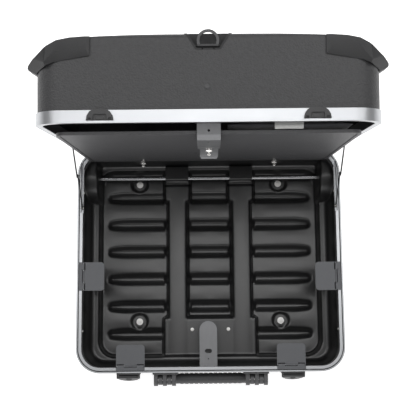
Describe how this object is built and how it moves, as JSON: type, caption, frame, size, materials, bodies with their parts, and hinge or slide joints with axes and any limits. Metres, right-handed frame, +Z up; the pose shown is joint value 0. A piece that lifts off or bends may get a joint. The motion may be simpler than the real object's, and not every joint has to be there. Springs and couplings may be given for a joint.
{
  "type": "hard-shell wheeled case",
  "caption": "Wheeled hard-shell carrying case with a hinged aluminium-framed lid, latches, folding stays, carry handle, pull handle and ribbed tub floor.",
  "frame": {"origin": "centre of the bounding box on the ground under the case, with the lid open as in rest", "axes": "+X to the case's right seen from the front, +Y to the back (hinge side), +Z up"},
  "size_m": [0.5116, 0.5594, 0.555],
  "materials": {
    "shell": "fine pebble grain",
    "frame": "satin anodised",
    "seal": "matt",
    "bumper": "coarse grain",
    "moulding": "fine grain",
    "handle": "soft grain",
    "tyre": "moulded",
    "hub": "satin",
    "bright_steel": "brushed",
    "dark_steel": "black coated",
    "grey_steel": "grey coated",
    "tube": "drawn",
    "button": "gloss",
    "board": "matt",
    "pouch": "woven",
    "label": "gloss"
  },
  "bodies": {
    "base": {"base_shell": "shell", "base_frame": "frame", "frame_seal": "seal", "rubber_feet": "seal", "foot_screws": "bright_steel", "base_bumpers": "bumper", "axle": "bright_steel", "axle_caps": "bright_steel", "axle_clips": "moulding", "fixed_tubes": "tube", "tube_clamps": "dark_steel", "plate_rivets": "bright_steel", "wall_screws": "dark_steel", "rim_rivets": "bright_steel", "base_tongue": "grey_steel", "flap_leaves": "dark_steel", "flap_pins": "bright_steel", "latch_bodies": "moulding", "latch_pins": "bright_steel", "handle_brackets": "handle", "handle_pins": "bright_steel", "hinge_leaves_base": "dark_steel", "hinge_pins": "bright_steel", "stay_pins_base": "bright_steel"},
    "wheel_left": {"tyre_left": "tyre", "hub_left": "hub"},
    "wheel_right": {"tyre_right": "tyre", "hub_right": "hub"},
    "tubes_middle": {"middle_tubes": "tube"},
    "pull_handle": {"inner_tubes": "tube", "pull_grip": "moulding"},
    "button": {"grip_button": "button"},
    "flap_left": {"flap_left": "grey_steel"},
    "flap_right": {"flap_right": "grey_steel"},
    "flap_front_left": {"flap_front_left": "grey_steel"},
    "flap_front_right": {"flap_front_right": "grey_steel"},
    "lever_left": {"latch_lever_left": "moulding"},
    "lever_right": {"latch_lever_right": "moulding"},
    "handle": {"carry_handle": "handle"},
    "lid": {"lid_shell": "shell", "lid_frame": "frame", "lid_bumpers": "bumper", "lid_catches": "moulding", "loop_housing": "moulding", "lid_screw": "bright_steel", "hinge_leaves_lid": "dark_steel", "stay_pins_lid": "bright_steel", "lid_tongue": "grey_steel", "lid_board": "board", "board_brackets": "grey_steel", "document_pouch": "pouch", "label_plate": "label"},
    "loop": {"lid_loop": "moulding"},
    "stud_centre": {"knob_centre": "bright_steel"},
    "stud_left": {"knob_left": "bright_steel"},
    "stud_right": {"knob_right": "bright_steel"},
    "stay_lower_left": {"stay_lower_left": "dark_steel"},
    "stay_lower_right": {"stay_lower_right": "dark_steel"},
    "stay_upper_left": {"stay_upper_left": "dark_steel"},
    "stay_upper_right": {"stay_upper_right": "dark_steel"}
  },
  "joints": [
    {"name": "lid_hinge", "type": "hinge", "parent": "base", "child": "lid", "pos_m": [0, 0.15707, 0.13], "axis": [1, 0, 0], "range_deg": [0, 83.2]},
    {"name": "wheel_left_spin", "type": "hinge", "parent": "base", "child": "wheel_left", "pos_m": [-0.229, 0.11757, 0.0435], "axis": [1, 0, 0], "continuous": true},
    {"name": "wheel_right_spin", "type": "hinge", "parent": "base", "child": "wheel_right", "pos_m": [0.229, 0.11757, 0.0435], "axis": [1, 0, 0], "continuous": true},
    {"name": "pull_slide", "type": "slide", "parent": "base", "child": "pull_handle", "axis": [0, -1, 0], "range_m": [0, 0.36]},
    {"name": "tube_slide", "type": "slide", "parent": "base", "child": "tubes_middle", "axis": [0, -1, 0], "range_m": [0, 0.18]},
    {"name": "button_press", "type": "slide", "parent": "pull_handle", "child": "button", "axis": [0, 1, 0], "range_m": [0, 0.002], "stiffness_N_per_m": 300, "springref_m": -0.002},
    {"name": "flap_left_fold", "type": "hinge", "parent": "base", "child": "flap_left", "pos_m": [-0.2327, -0.07923, 0.1274], "axis": [0, 1, 0], "range_deg": [0, 80]},
    {"name": "flap_right_fold", "type": "hinge", "parent": "base", "child": "flap_right", "pos_m": [0.2327, -0.08223, 0.1274], "axis": [0, -1, 0], "range_deg": [0, 80]},
    {"name": "flap_front_left_fold", "type": "hinge", "parent": "base", "child": "flap_front_left", "pos_m": [-0.146, -0.24223, 0.1274], "axis": [-1, 0, 0], "range_deg": [0, 80]},
    {"name": "flap_front_right_fold", "type": "hinge", "parent": "base", "child": "flap_front_right", "pos_m": [0.1465, -0.24223, 0.1274], "axis": [-1, 0, 0], "range_deg": [0, 80]},
    {"name": "lever_left_turn", "type": "hinge", "parent": "base", "child": "lever_left", "pos_m": [-0.15, -0.26173, 0.122], "axis": [-1, 0, 0], "range_deg": [0, 160]},
    {"name": "lever_right_turn", "type": "hinge", "parent": "base", "child": "lever_right", "pos_m": [0.15, -0.26173, 0.122], "axis": [-1, 0, 0], "range_deg": [0, 160]},
    {"name": "handle_swing", "type": "hinge", "parent": "base", "child": "handle", "pos_m": [0, -0.26873, 0.11], "axis": [-1, 0, 0], "range_deg": [0, 95]},
    {"name": "loop_tilt", "type": "hinge", "parent": "lid", "child": "loop", "pos_m": [0, 0.21467, 0.54554], "axis": [1, 0, 0], "range_deg": [0, 70]},
    {"name": "stud_centre_turn", "type": "hinge", "parent": "lid", "child": "stud_centre", "pos_m": [0, 0.08704, 0.46386], "axis": [0, 0.993, 0.1184], "range_deg": [0, 90]},
    {"name": "stud_left_turn", "type": "hinge", "parent": "lid", "child": "stud_left", "pos_m": [-0.1185, 0.12583, 0.17663], "axis": [0, 0.993, 0.1184], "range_deg": [0, 90]},
    {"name": "stud_right_turn", "type": "hinge", "parent": "lid", "child": "stud_right", "pos_m": [0.1185, 0.12583, 0.17663], "axis": [0, 0.993, 0.1184], "range_deg": [0, 90]},
    {"name": "stay_lower_left_turn", "type": "hinge", "parent": "base", "child": "stay_lower_left", "pos_m": [-0.2367, 0.04907, 0.125], "axis": [1, 0, 0], "range_deg": [-44.8, 0]},
    {"name": "stay_upper_left_turn", "type": "hinge", "parent": "lid", "child": "stay_upper_left", "pos_m": [-0.2383, 0.14924, 0.23783], "axis": [1, 0, 0], "range_deg": [0, 44.8]},
    {"name": "stay_lower_right_turn", "type": "hinge", "parent": "base", "child": "stay_lower_right", "pos_m": [0.2367, 0.04907, 0.125], "axis": [1, 0, 0], "range_deg": [-44.8, 0]},
    {"name": "stay_upper_right_turn", "type": "hinge", "parent": "lid", "child": "stay_upper_right", "pos_m": [0.2383, 0.14924, 0.23783], "axis": [1, 0, 0], "range_deg": [0, 44.8]}
  ],
  "couplings": [
    {"joint": "tube_slide", "follows": "pull_slide", "ratio": 0.5},
    {"joint": "flap_left_fold", "follows": "lid_hinge", "ratio": 0.95},
    {"joint": "flap_right_fold", "follows": "lid_hinge", "ratio": 0.95},
    {"joint": "flap_front_left_fold", "follows": "lid_hinge", "ratio": 0.95},
    {"joint": "flap_front_right_fold", "follows": "lid_hinge", "ratio": 0.95},
    {"joint": "stay_lower_left_turn", "follows": "lid_hinge", "ratio": -0.53606},
    {"joint": "stay_upper_left_turn", "follows": "lid_hinge", "ratio": 0.53606},
    {"joint": "stay_lower_right_turn", "follows": "lid_hinge", "ratio": -0.53606},
    {"joint": "stay_upper_right_turn", "follows": "lid_hinge", "ratio": 0.53606}
  ]
}
